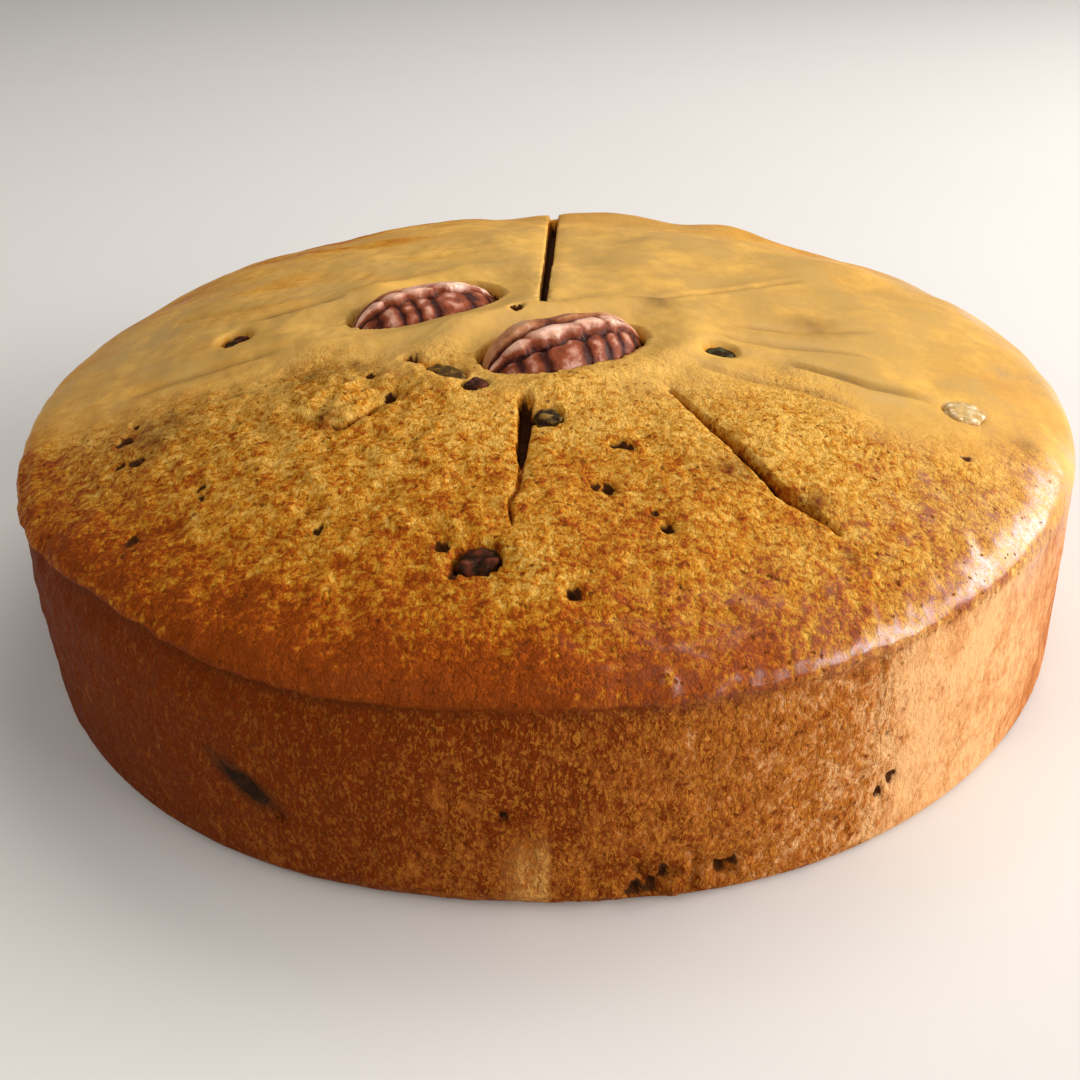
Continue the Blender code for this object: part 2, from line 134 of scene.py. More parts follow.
# Bubbles that broke the crust: middle, width and depth. On the side the middle is (degrees, height)
CROWN_PITS = (
    ((1.9, -83.7), 2.2, 2.0),
    ((15.8, -70.7), 2.0, 2.0),
    ((14.0, -68.0), 1.2, 1.2),
    ((9.4, -51.9), 2.6, 1.6),
    ((11.2, -52.5), 1.8, 1.4),
    ((7.5, -62.5), 2.2, 1.6),
    ((5.7, -62.2), 1.6, 1.0),
    ((-16.6, -74.4), 2.2, 1.8),
    ((-15.0, -79.4), 1.8, 1.6),
    ((-24.8, -25.4), 2.6, 1.8),
    ((-71.4, -32.7), 1.6, 1.2),
    ((-71.9, -37.4), 2.8, 1.8),
    ((-68.3, -44.4), 2.4, 1.6),
    ((-71.2, -44.5), 2.0, 1.4),
    ((-55.1, -55.8), 1.8, 1.2),
    ((-54.5, -58.2), 1.4, 1.0),
    ((-64.2, -63.9), 3.0, 0.7),
    ((-27.0, -36.9), 2.2, 2.0),
    ((-30.9, -30.5), 2.0, 1.2),
    ((-6.8, -7.8), 2.4, 2.0),
    ((-34.9, -69.4), 1.6, 1.0),
    ((66.4, -44.7), 1.6, 1.0),
    ((17.1, -81.1), 1.2, 0.8),
)
SIDE_PITS = (
    ((-82.6, 3.2), 2.8, 1.6),
    ((-81.2, 4.0), 2.2, 1.4),
    ((-80.2, 6.4), 2.2, 1.4),
    ((-74.8, 5.6), 2.6, 1.6),
    ((-73.9, 6.3), 1.8, 1.2),
    ((-57.9, 12.1), 2.4, 0.8),
    ((-59.2, 10.2), 2.0, 1.2),
    ((-113.0, 12.2), 1.6, 2.0),
    ((-93.5, 18.6), 1.5, 1.2),
)

# Darker places where fruit lies just under the crust: middle and spread
STAINS = (
    ((-40.2, -29.0), 4.5),
    ((-33.0, -27.0), 2.6),
    ((-36.4, -44.0), 3.0),
    ((27.0, -57.5), 3.6),
    ((-66.0, -38.0), 6.0),
    ((42.8, -72.5), 1.6),
    ((39.0, -62.5), 2.2),
    ((19.0, -3.0), 3.5),
    ((48.0, -8.0), 4.5),
    ((79.5, -36.0), 1.8),
)
STAIN_DEPTH = 0.48
SEAM_AT = math.radians(-60.8)  # a line down the side
LOOSE_CRUMB = (14.3, -94.8, 39.0)  # a pale crumb on the front of the lip
CRUMB_HEIGHT = 1.1
DATE_REACH = 6.0  # how far from the date's own face its stain may reach


def bell(value, spread):
    """1 at 0, falling smoothly away on both sides."""
    return np.exp(-((value / spread) ** 2))


def ease(low, high, value):
    """0 below low, 1 above high, and smooth between them."""
    share = np.clip((value - low) / (high - low), 0.0, 1.0)
    return share * share * (3 - 2 * share)


def near(x, y, middle, spread):
    """1 at a place in the plan, falling smoothly away round it."""
    return bell(np.hypot(x - middle[0], y - middle[1]), spread)


def around_middle(x, y):
    """Distance and direction of places in the plan from the round's own middle."""
    east, north = x - MIDDLE[0], y - MIDDLE[1]
    return np.hypot(east, north), np.arctan2(north, east)


def turn_from(angle, other):
    """How far angle is from other, the short way round."""
    return np.abs((angle - other + math.pi) % (2 * math.pi) - math.pi)


def toward(angle, direction, spread):
    """1 in a direction around the cake in degrees, falling away over spread radians on both sides."""
    return bell(turn_from(angle, math.radians(direction)), spread)


def rough(points, size, seed=0.0):
    """Smooth noise from -1 to 1 at each point, with features about size mm across."""
    shift = Vector((seed, 2.7 * seed, -1.3 * seed))
    flat = np.asarray(points, float).reshape(-1, 3)
    made = [noise.noise(Vector(point) / size + shift) for point in flat]
    return np.array(made).reshape(np.shape(points)[:-1])


# The cake's form


def rim_radius(angle):
    waves = sum(a * np.cos(n * angle) + b * np.sin(n * angle) for n, a, b in ROUNDNESS)
    return RADIUS * (1 + waves)


def side_radius(angle, height):
    taper = MEAN_TAPER + LEAN_TAPER * np.cos(angle)
    radius = rim_radius(angle) * (1 - taper * (1 - height / CREASE_HEIGHT))
    rounding = FOOT_ROUNDING + FRONT_FOOT * bell(angle - FRONT_FOOT_AT, FRONT_FOOT_SPREAD)
    drop = np.clip(rounding - height, 0, None)
    return radius - np.where(drop > 0, rounding - np.sqrt(np.clip(rounding**2 - drop**2, 0, None)), 0)


def swell(x, y):
    """The crown's uneven rises and hollows."""
    total = sum(
        height * rough(np.stack([x, y, np.full_like(x, size * size)], axis=-1), size)
        for size, height in SWELLS
    )
    for middle, height, spread in LUMPS:
        total = total + height * near(x, y, middle, spread)
    return total


def crown_height(x, y):
    """Height of the smooth top crust over places in the plan."""
    x, y = np.atleast_1d(x).astype(float), np.atleast_1d(y).astype(float)
    radius, angle = around_middle(x, y)
    flat = np.clip(1 - (radius / rim_radius(angle)) ** 2, 0, None)
    power = CROWN_POWER - POWER_LEFT * np.cos(angle) * np.abs(np.cos(angle)) + POWER_BACK * np.sin(angle)
    return CREASE_HEIGHT + CROWN_RISE * flat**power + swell(x, y) * np.minimum(1.0, 3 * flat)


def crown_spot(x, y):
    """A place on the top crust and the way it faces."""
    step = 0.5
    z, right, left, back, front = crown_height(
        np.array([x, x + step, x - step, x, x]), np.array([y, y, y, y + step, y - step])
    )
    normal = Vector((left - right, front - back, 2 * step)).normalized()
    return Vector((x, y, z)), normal


def side_spot(direction, height):
    """A place on the side crust and the way it faces."""
    angle = math.radians(direction)
    radius = float(side_radius(np.array(angle), np.array(height)))
    outward = Vector((math.cos(angle), math.sin(angle), 0))
    return outward * radius + Vector((*MIDDLE, height)), outward


def facing_frame(place, normal, turn):
    """A frame at place with its Z along normal, and its X turned from the viewer's right."""
    rightward = Vector((1, 0, 0)) if normal.z > 0.5 else Vector((-normal.y, normal.x, 0))
    forward = normal.cross(rightward).normalized()
    rightward = forward.cross(normal)
    axes = Matrix((rightward, forward, normal)).transposed().to_4x4()
    return Matrix.Translation(place) @ axes @ Matrix.Rotation(math.radians(turn), 4, "Z")


# Shader trees


class Shade:
    """One socket of a shader tree. Sums on it add Math nodes to the tree."""

    def __init__(self, tree, socket):
        self.tree = tree
        self.socket = socket

    def node(self, kind, settings=None, inputs=None, output=0):
        """The output of a new node, with its settings made first and then its inputs."""
        made = self.tree.nodes.new(kind)
        for name, value in (settings or {}).items():
            if name == "stops":
                set_stops(made.color_ramp, value)
            else:
                setattr(made, name, value)
        for name, value in (inputs or {}).items():
            if isinstance(value, Shade):
                self.tree.links.new(value.socket, made.inputs[name])
            else:
                made.inputs[name].default_value = value
        return Shade(self.tree, made.outputs[output])

    def math(self, operation, *terms):
        return self.node("ShaderNodeMath", {"operation": operation}, dict(enumerate(terms)))

    def __add__(self, other):
        return self.math("ADD", self, other)

    __radd__ = __add__

    def __mul__(self, other):
        return self.math("MULTIPLY", self, other)

    __rmul__ = __mul__

    def __sub__(self, other):
        return self.math("SUBTRACT", self, other)

    def __rsub__(self, other):
        return self.math("SUBTRACT", other, self)

    def ease(self, low, high):
        """0 below low, 1 above high, and smooth between them. With low above high it falls."""
        inputs = {"Value": self, "From Min": low, "From Max": high}
        return self.node("ShaderNodeMapRange", {"interpolation_type": "SMOOTHSTEP"}, inputs)

    def ramp(self, *stops):
        """Colours of a ramp, where each stop is a place on it and a colour."""
        return self.node("ShaderNodeValToRGB", {"stops": stops}, {"Fac": self})

    def blend(self, start, end):
        """Colours from start to end as this value goes from 0 to 1."""
        return self.node("ShaderNodeMix", {"data_type": "RGBA"}, {0: self, 6: start, 7: end}, 2)

    def stretched(self, factors):
        return self.node("ShaderNodeVectorMath", {"operation": "MULTIPLY"}, {0: self, 1: factors})

    def warped(self, size, amount):
        """These coordinates, pushed about by up to amount mm."""
        inputs = {"Vector": self, "Scale": 1 / size, "Detail": 1.0}
        pushes = self.node("ShaderNodeTexNoise", {}, inputs, "Color")
        settings = {"operation": "MULTIPLY_ADD"}
        return self.node("ShaderNodeVectorMath", settings, {0: pushes, 1: (2 * amount,) * 3, 2: self})

    def grain(self, size, detail=3.0, roughness=0.55):
        """Noise from 0 to 1 over these coordinates in mm, with features about size mm across."""
        inputs = {"Vector": self, "Scale": 1 / size, "Detail": detail, "Roughness": roughness}
        return self.node("ShaderNodeTexNoise", {}, inputs)

    def cells(self, size):
        """Distance, in cells, from the nearest of points scattered about size mm apart."""
        return self.node("ShaderNodeTexVoronoi", {}, {"Vector": self, "Scale": 1 / size})


def set_stops(ramp, stops):
    while len(ramp.elements) > 1:
        ramp.elements.remove(ramp.elements[-1])
    for number, (place, colour) in enumerate(stops):
        stop = ramp.elements[0] if number == 0 else ramp.elements.new(place)
        stop.position = place
        stop.color = rgba(colour)


def rgba(colour):
    return (*colour, 1.0)


class Finish:
    """A material with one Principled shader, and the coordinates and masks that its tree starts from."""

    def __init__(self, name, **constants):
        self.material = bpy.data.materials.new(name)
        self.material.use_nodes = True
        self.tree = self.material.node_tree
        self.shader = self.tree.nodes["Principled BSDF"]
        for socket, value in constants.items():
            self.shader.inputs[socket.replace("_", " ")].default_value = value
        self.start = Shade(self.tree, None)

    def place(self):
        """Coordinates over the piece in mm."""
        place = self.start.node("ShaderNodeTexCoord", output="Object")
        return place.stretched((1 / MM, 1 / MM, 1 / MM))

    def mask(self, name):
        """The value that the mesh carries under this name."""
        return self.start.node("ShaderNodeAttribute", {"attribute_name": name}, output="Fac")

    def feed(self, socket, value):
        self.tree.links.new(value.socket, self.shader.inputs[socket])

    def relief(self, height):
        """Bumps the surface by height, in mm."""
        inputs = {"Height": height, "Strength": 1.0, "Distance": MM}
        self.feed("Normal", self.start.node("ShaderNodeBump", {}, inputs))


# Settings


def colour_setting(name, description, default):
    return FloatVectorProperty(
        name=name, description=description, default=default, subtype="COLOR", min=0, max=1
    )


def length_setting(name, description, default):
    return FloatProperty(
        name=name, description=description, default=default, unit="LENGTH", precision=5
    )


def power_setting(name, description, default):
    return FloatProperty(name=name, description=description, default=default, unit="POWER")


class CrustSettings(bpy.types.PropertyGroup):
    directions: IntProperty(
        name="Directions", description="Mesh points around the cake", default=590, min=64
    )
    side_rows: IntProperty(name="Side rows", description="Mesh rows down the side", default=30, min=8)
    lip: length_setting("Lip", "How far the free dough swelled over the side", 2.0 * MM)
    crease: length_setting("Crease", "Depth of the crease under the lip", 2.4 * MM)
    crumb: length_setting("Crumb", "Height of the crumb's small rises", 0.32 * MM)
    golden: colour_setting("Golden", "Palest crust, at the back of the crown", (0.82, 0.47, 0.098))
    honey: colour_setting("Honey", "Half-browned crust", (0.57, 0.235, 0.015))
    dough: colour_setting("Dough", "Smooth skin of the dough at the back", (0.54, 0.325, 0.090))
    amber: colour_setting("Amber", "Well-browned crust of the lip", (0.38, 0.075, 0.004))
    brown: colour_setting("Brown", "Scorched crust", (0.25, 0.046, 0.003))
    fleck: colour_setting("Fleck", "Light flecks on the side", (0.60, 0.235, 0.026))
    scraped: colour_setting("Scraped crumb", "Where the crust was rubbed off", (0.66, 0.315, 0.075))
    pore: colour_setting("Pore", "Inside of pores and scorched specks", (0.15, 0.034, 0.004))
    # The moist crumb colour also paints the shade inside cuts, pits and creases and under the lip.
    moist_crumb_and_shade: colour_setting("Moist crumb", "Inside of the knife cuts and pits", (0.070, 0.022, 0.006))
    side_pale: colour_setting("Pale side", "Palest part of the side", (0.74, 0.40, 0.17))
    side_mid: colour_setting("Half-browned side", "Middling part of the side", (0.41, 0.122, 0.016))
    side_brown: colour_setting("Brown side", "Deepest part of the side", (0.18, 0.028, 0.002))


class NutSettings(bpy.types.PropertyGroup):
    groove: length_setting("Groove", "Depth of the two long grooves", 3.4 * MM)
    fold: length_setting("Fold", "Height of the cross folds", 0.9 * MM)
    # The groove skin colour also paints shade in the grooves and on the near lobe, and the palest crest
    # colour also paints highlights.
    skin: colour_setting("Skin", "Skin in the grooves", (0.045, 0.009, 0.006))
    ridge: colour_setting("Ridge", "Skin on the lobes", (0.26, 0.060, 0.022))
    pale_crest_and_highlight: colour_setting("Pale crest and highlight", "Palest skin on the ridges", (0.82, 0.48, 0.34))
    tan: colour_setting("Tan", "Skin of the far lobe", (0.50, 0.22, 0.085))


class FruitSettings(bpy.types.PropertyGroup):
    wrinkle: length_setting("Wrinkle", "Height of the wrinkles", 0.35 * MM)
    black: colour_setting("Black", "Darkest dried fruit", (0.022, 0.010, 0.004))
    red: colour_setting("Red", "Where light comes through dark fruit", (0.17, 0.035, 0.018))
    olive: colour_setting("Olive", "Dark fruit with a thin skin of crust", (0.11, 0.095, 0.040))
    amber: colour_setting("Amber", "Pale dried fruit", (0.34, 0.20, 0.04))
    # Husk is also the painted shade in the wrinkles of pale fruit.
    husk: colour_setting("Husk", "Wrinkles of pale dried fruit", (0.075, 0.038, 0.010))
    smear: colour_setting("Smear", "Soft date in the side", (0.060, 0.020, 0.007))
    # The palest peel colour is pale candied peel and partly a painted highlight.
    peel: colour_setting("Peel", "Palest part of the candied peel", (0.88, 0.72, 0.46))
    syrup: colour_setting("Syrup", "Clear part of the candied peel", (0.52, 0.33, 0.11))


class StageSettings(bpy.types.PropertyGroup):
    floor: colour_setting("Floor", "Colour of the floor", (0.74, 0.73, 0.71))
    room: FloatProperty(
        name="Room light", description="Strength of the light from all round", default=0.25
    )
    window: power_setting("Window", "Power of the light at the right", 14.0)
    back: power_setting("Back light", "Power of the light behind", 3.1)
    fill: power_setting("Fill light", "Power of the light at the front", 2.0)
    eye: FloatVectorProperty(
        name="Camera",
        description="Place of the camera",
        default=(-0.002626, -0.237383, 0.144827),
        subtype="TRANSLATION",
        precision=5,
    )
    tilt: FloatProperty(
        name="Tilt", description="Camera's angle below level", default=math.radians(30.588), subtype="ANGLE"
    )
    lens: FloatProperty(name="Lens", description="Focal length in mm for a 36 mm sensor", default=44.483)


class FruitcakeSettings(bpy.types.PropertyGroup):
    crust: PointerProperty(type=CrustSettings)
    nut: PointerProperty(type=NutSettings)
    fruit: PointerProperty(type=FruitSettings)
    stage: PointerProperty(type=StageSettings)


# Crust


def crust_directions(count):
    """Directions around the cake, closer together at the front and beside the open cuts."""
    fine = np.linspace(-math.pi, math.pi, 7201)
    crowding = 1 + 0.9 * toward(fine, -90, 1.2)
    for route, _, depth in CUTS:
        if depth > 2:
            ends = [around_middle(x, y)[1] for x, y in route[1:]]
            crowding += 2.2 * bell(turn_from(fine, sum(ends) / len(ends)), 0.06)
    total = np.concatenate([[0], np.cumsum((crowding[1:] + crowding[:-1]) / 2)])
    return np.interp(np.arange(count) / count, total / total[-1], fine)


def crown_shares():
    """Shares of the radius for the crown's rows, evenly spaced along its profile in each stretch."""
    turn = np.linspace(0, math.pi / 2, 2001)
    across, up = RADIUS * np.sin(turn), CROWN_RISE * np.cos(turn) ** (2 * CROWN_POWER)
    arc = np.concatenate([[0], np.cumsum(np.hypot(np.diff(across), np.diff(up)))])
    reach = [0.6]
    while reach[-1] < arc[-1] - 0.4:
        spacing = 0.74 if reach[-1] < 45 else 0.98
        reach.append(reach[-1] + min(spacing, 0.55 + 0.05 * max(0, arc[-1] - reach[-1])))
    reach[-1] = arc[-1]
    return np.sin(np.interp(reach, arc, turn))


def lip_strength(angle):
    """How far the lip stands out around the cake, from nearly nothing at the back to 1 at the left."""
    return 0.06 + 0.94 * toward(angle, -142, 0.95)


def over_crease(angle, z):
    """Height over the crease, which wanders a little."""
    return z - CREASE_HEIGHT + 0.9 * np.sin(9 * angle) * lip_strength(angle)


def crust_sheet(settings):
    """The smooth crust, and how many of its rows of points lie on the crown.

    The rows run out from the middle of the crown, down the side and round the foot.
    """
    angle = crust_directions(settings.directions)
    share = crown_shares()[:, None]
    radius = rim_radius(angle) * share
    x, y = MIDDLE[0] + radius * np.cos(angle), MIDDLE[1] + radius * np.sin(angle)
    z = crown_height(x, y)
    z[-1] = CREASE_HEIGHT
    down = np.linspace(0, 1, settings.side_rows)[1:] ** 1.25
    heights = CREASE_HEIGHT + (FOOT_ROUNDING + FRONT_FOOT - CREASE_HEIGHT) * down
    foot = (FOOT_ROUNDING + FRONT_FOOT) * np.array([0.72, 0.48, 0.28, 0.15, 0.06, 0.015, 0.0])
    heights = np.concatenate([heights, foot])[:, None] * np.ones_like(angle)
    side = side_radius(angle, heights)
    radius, z = np.concatenate([radius, side]), np.concatenate([z, heights])
    strength, over = lip_strength(angle), over_crease(angle, z) * np.ones_like(radius)
    lip = bell(over - LIP_RISE, LIP_SPREAD) - 0.7 * bell(over - 3, 12)
    radius += settings.lip / MM * strength * lip * (radius > 60)
    fade = np.where(over > -0.6, 0.9, 4.0)
    radius -= settings.crease / MM * strength * bell(over + 0.6, fade) * (radius > 60)
    second = toward(angle, -158, 0.42)
    radius -= 0.9 * second * bell(over - 6.5, 1.3) * (radius > 60)
    x, y = MIDDLE[0] + radius * np.cos(angle), MIDDLE[1] + radius * np.sin(angle)
    return np.stack([x, y, z], axis=-1), len(share)


def sheet_normals(sheet):
    down = np.gradient(sheet, axis=0)
    along = np.roll(sheet, -1, axis=1) - np.roll(sheet, 1, axis=1)
    normal = np.cross(down, along)
    return normal / np.maximum(np.linalg.norm(normal, axis=-1, keepdims=True), 1e-9)


def route_distance(x, y, route, widths):
    """Distance from a route and the half width it has there, at each place."""
    best, half = np.full(x.shape, 1e9), np.full(x.shape, 0.1)
    for (start, end), (wide, next_wide) in zip(zip(route, route[1:]), zip(widths, widths[1:])):
        run = np.subtract(end, start)
        share = ((x - start[0]) * run[0] + (y - start[1]) * run[1]) / (run @ run)
        share = np.clip(share, 0, 1)
        away = np.hypot(x - start[0] - share * run[0], y - start[1] - share * run[1])
        nearer = away < best
        best = np.where(nearer, away, best)
        half = np.where(nearer, (wide + share * (next_wide - wide)) / 2, half)
    return best, half


def plan_oval(x, y, middle, length, width, turn, power=2.0):
    """1 on an oval's edge, less inside it and more outside."""
    turned = math.radians(turn)
    east, north = x - middle[0], y - middle[1]
    along = east * math.cos(turned) + north * math.sin(turned)
    across = north * math.cos(turned) - east * math.sin(turned)
    return (np.abs(2 * along / length) ** power + np.abs(2 * across / width) ** power) ** (1 / power)


def crust_hollows(x, y, ragged):
    """How deep the cuts and pockets go into the crown, the soft sag round them, and painted shade lines in
    creases.
    """
    deep, sag, crease_shade = np.zeros_like(x), np.zeros_like(x), np.zeros_like(x)
    for route, widths, depth in CUTS:
        away, half = route_distance(x, y, route, widths)
        away = away + 0.3 * ragged * np.minimum(1, half)
        deep = np.maximum(deep, depth * (1 - ease(0.5, 1.05, away / half)))
        sag = sag + min(0.4, depth / 5) * bell(away, 1.0 + half)
    for route, width, depth in CREASES:
        away, _ = route_distance(x, y, route, [width] * len(route))
        ends = [np.hypot(x - end[0], y - end[1]) for end in (route[0], route[-1])]
        fade = ease(0, 7, ends[0]) * ease(0, 7, ends[1])
        sag = sag + fade * (depth * bell(away, width / 2) - 0.45 * depth * bell(away - 1.3 * width, width))
        # A painted shade line down each crease.
        crease_shade = np.maximum(crease_shade, fade * depth * bell(away, 0.8))
    for middle, length, width, thickness, turn, _, stands_out in PECANS.values():
        turned = math.radians(turn)
        behind = (middle[0] - 0.5 * math.sin(turned), middle[1] + 0.5 * math.cos(turned))
        edge = plan_oval(x, y, behind, length + 1.3, width + 0.7, turn, 2.3) + 0.03 * ragged
        deep = np.maximum(deep, (thickness - stands_out + 0.3) * (1 - ease(0.9, 1.0, edge)))
        sag = sag + 0.5 * bell(np.clip(edge - 1, 0, None) * width / 2, 1.6)
        sag = sag - 0.9 * bell((edge - 1) * width / 2 - 5.0, 2.6)
    for name, (middle, length, width, _, turn, sunk, _) in CROWN_FRUIT.items():
        edge = plan_oval(x, y, middle, length + 0.2, width + 0.2, turn, 2.4) + 0.06 * ragged
        hidden = 2.2 if name in ("raisin_4", "raisin_6") else 0.0
        deep = np.maximum(deep, (1.3 + hidden) * (1 - ease(0.8, 1.0, edge)))
        sag = sag + 0.25 * bell(np.clip(edge - 1, 0, None) * width / 2, 1.2)
    middle, length, width, _, turn, sunk = PEEL
    edge = plan_oval(x, y, middle, length, width, turn)
    deep = np.maximum(deep, 1.0 * (1 - ease(0.7, 1.0, edge)))
    return deep, sag, crease_shade


def crust_pits(points, ragged):
    """How deep the broken bubbles go, at each point."""
    deep = np.zeros(points.shape[:-1])
    spots = [(crown_spot(*middle)[0], width, depth) for middle, width, depth in CROWN_PITS]
    spots += [(side_spot(*middle)[0], width, depth) for middle, width, depth in SIDE_PITS]
    for place, width, depth in spots:
        away = np.linalg.norm(points - np.array(place), axis=-1) / (width / 2)
        deep = np.maximum(deep, depth * (1 - ease(0.3, 1.15, away * (0.85 + 0.15 * ragged))))
    return deep


def crown_browning(x, y, z, angle):
    """How brown the top crust is: pale behind the nuts, and deepest over the lip at the front left."""
    away = np.hypot(0.9 * (x - 10), y - 12)
    brown = 0.02 + 0.36 * ease(24, 100, away)
    brown += 0.56 * bell(z - CREASE_HEIGHT, 8.0) * toward(angle, -112, 0.8)
    brown += 0.2 * bell(z - CREASE_HEIGHT - 1, 3.5) * toward(angle, -120, 0.9)
    smeared = rough(np.stack([0.6 * x, 1.6 * y, z], axis=-1), 13.0, 21.0)
    brown += 0.22 * ease(0.0, 0.5, smeared) * ease(-8, -35, x) * ease(-4, 12, y) + 0.12 * ease(0, 60, y)
    # The patch round (38, 4), right of the right nut, is painted shade.
    brown += 0.1 * toward(angle, -85.94, 0.45) * ease(45, 85, away) + 0.1 * near(x, y, (38, 4), 24)
    # The second term makes the far left rim paler: paler crust, and partly a painted sheen.
    brown -= 0.3 * near(x, y, (-3, -80.5), 5.5) + 0.15 * toward(angle, 180, 0.5) * ease(60, 85, away)
    return brown


def side_browning(z, angle):
    """How brown the side is: deep at the left and the back, and paler from the front to the right."""
    fading = 0.14 * ease(SEAM_AT - 0.01, SEAM_AT + 0.02, angle)
    fading += 0.74 * ease(SEAM_AT - 0.9, SEAM_AT + 0.4, angle) - 0.34 * ease(-0.85, -0.5, angle)
    fading *= ease(1.8, 1.2, angle)
    return 0.95 - fading - 0.15 * ease(20, 6, z) * toward(angle, -95, 0.5)


def crust_browning(points, angle, on_side):
    """How brown the crust is, from 0 at its palest to 1 at its deepest."""
    x, y, z = points[..., 0], points[..., 1], points[..., 2]
    cloud = 0.10 * rough(points, 24.0, 3.0) + 0.07 * rough(points, 8.0, 5.0)
    top, side = crown_browning(x, y, z, angle), side_browning(z, angle) + 0.8 * cloud
    brown = top + (side - top) * ease(CREASE_HEIGHT + 2.0, CREASE_HEIGHT - 1.5, z)
    over = over_crease(angle, z)
    # Browner in the crease under the lip, a painted shadow, and paler along the lip's lower edge.
    brown += lip_strength(angle) * (0.3 * bell(over + 0.8, 1.5) - 0.28 * bell(over - 1.3, 1.0))
    return np.clip(brown + cloud * ~on_side, 0, 1.2)


def crust_relief(points, angle, sleek, settings):
    """Small rises and hollows of the crust in mm."""
    x, y, z = points[..., 0], points[..., 1], points[..., 2]
    radius, _ = around_middle(x, y)
    on_crown = ease(CREASE_HEIGHT, CREASE_HEIGHT + 3, z)
    crumb, open_crumb = settings.crumb / MM, 1 - sleek
    rise = crumb * (0.1 + 0.9 * open_crumb) * rough(points, 2.4, 1.0)
    rise += crumb * 0.9 * (0.3 + 0.7 * open_crumb) * rough(points, 5.5, 2.0)
    rise *= 1 - 0.55 * ease(30, 75, x) * ease(28, 40, z)
    rise += (0.25 + 0.35 * sleek) * rough(points, 12.0, 13.0) * ease(CREASE_HEIGHT, CREASE_HEIGHT + 6, z)
    along_folds = np.stack([radius / 2.3, angle * 60 / 6.5, z / 2.3], axis=-1)
    along_folds = along_folds + 0.7 * rough(points, 9.0, 12.0)[..., None]
    folds = 0.25 - np.abs(rough(along_folds, 1.0, 8.0))
    folds = folds * ease(0.6, -0.4, np.cos(angle)) * ease(28, 42, radius) * on_crown
    rise += (0.35 + 0.65 * open_crumb) * folds
    along_fan = np.stack([angle * 9, radius / 45, 0 * z], axis=-1)
    fan = sleek * bell(radius - 56, 20) * ease(1.6, 0.6, np.abs(angle + 0.1))
    rise += 0.5 * rough(along_fan, 1.0, 6.0) * fan
    crags = near(x, y, (-38, -37), 12) + 0.5 * near(x, y, (-66, -40), 9)
    rise += crags * (0.4 - 2.2 * np.abs(rough(points, 4.4, 7.0)))
    broken_foot = toward(angle, -80, 0.13) * ease(12, 7, z)
    rise += broken_foot * (2.2 * rough(points, 2.2, 9.0) - 0.6)
    seam = bell(turn_from(angle, SEAM_AT) * RADIUS, 0.7) * ease(38, 35, z) * ease(16, 27, z)
    return (rise - 0.5 * seam) * ease(0.0, 3.0, z)


def add_mesh(name, points, faces, masks=None):
    """An object from points in mm, its faces, and one value at each point for each mask."""
    mesh = bpy.data.meshes.new(name)
    mesh.from_pydata((np.asarray(points) * MM).tolist(), [], faces)
    mesh.update()
    for mask, values in (masks or {}).items():
        layer = mesh.attributes.new(mask, "FLOAT", "POINT")
        layer.data.foreach_set("value", np.asarray(values, np.float32).ravel())
    mesh.shade_smooth()
    made = bpy.data.objects.new(name, mesh)
    bpy.context.scene.collection.objects.link(made)
    return made


def closed_sheet_faces(rows, columns):
    """Faces between rows of points that run round a form, with a cap on its first and last row."""
    faces = [tuple(range(columns))]
    for row in range(rows - 1):
        for column in range(columns):
            after = (column + 1) % columns
            here, below = row * columns, (row + 1) * columns
            faces.append((here + column, below + column, below + after, here + after))
    faces.append(tuple(reversed(range((rows - 1) * columns, rows * columns))))
    return faces


def date_edge(points):
    """1 on the edge of the date in the side, less inside it and more outside."""
    middle, length, width, _, turn, _ = DATE
    place, outward = side_spot(*middle)
    local = (points - np.array(place)) @ np.array(facing_frame(place, outward, turn).to_3x3())
    edge = np.hypot(local[..., 0] / (length / 2), local[..., 1] / (width / 2))
    return np.where(np.abs(local[..., 2]) < DATE_REACH, edge, 9)


def crust_stain_and_shade(points, angle, crease_shade, dark, ragged):
    """Where fruit under the crust stains it, or painted shade darkens it in creases and under the lip, from
    0 to 1. dark is 1 on the edge of the date.
    """
    x, y, z = points[..., 0], points[..., 1], points[..., 2]
    # Darker round the date under the crust, and painted shade along the creases.
    stain_and_shade = np.maximum(1.1 * (1 - ease(0.35, 1.6, dark + 0.3 * ragged)), 0.7 * crease_shade)
    # Painted shadow in the crease under the lip.
    stain_and_shade = np.maximum(stain_and_shade, 0.4 * lip_strength(angle) * bell(over_crease(angle, z) + 0.9, 1.3))
    for middle, spread in STAINS:
        stain_and_shade = np.maximum(stain_and_shade, STAIN_DEPTH * near(x, y, middle, spread) * (z > CREASE_HEIGHT))
    return np.clip(stain_and_shade, 0, 1)


def crust_gloss(points, angle, sleek):
    """Where the crust is oily, from 0 to 1: along the rim at the right, and faintly on the smooth dough."""
    x, y, z = points[..., 0], points[..., 1], points[..., 2]
    cloud = rough(points, 9.0, 17.0)
    radius, rise = around_middle(x, y)[0], z - CREASE_HEIGHT
    spread = 3.5 + 5.5 * ease(-1.0, -0.6, angle)
    rim = bell(rise - 3.5, spread) * ease(-1.6, -1.25, angle) * ease(1.2, 0.4, angle)
    gloss = rim * (0.8 + 0.8 * cloud)
    gloss += 0.35 * toward(angle, -35.52, 0.28) * bell(radius - 84, 9) * (0.8 + cloud)
    gloss += 0.3 * toward(angle, -25.21, 0.15) * bell(rise - 7, 4.5)
    gloss += 0.6 * toward(angle, 2.865, 0.25) * bell(radius - 88, 6) * ease(0.0, 0.4, cloud)
    gloss += 0.3 * toward(angle, 180, 0.6) * bell(rise - 8, 6)
    return np.maximum(gloss, 0.12 * sleek * ease(-40, 40, x))


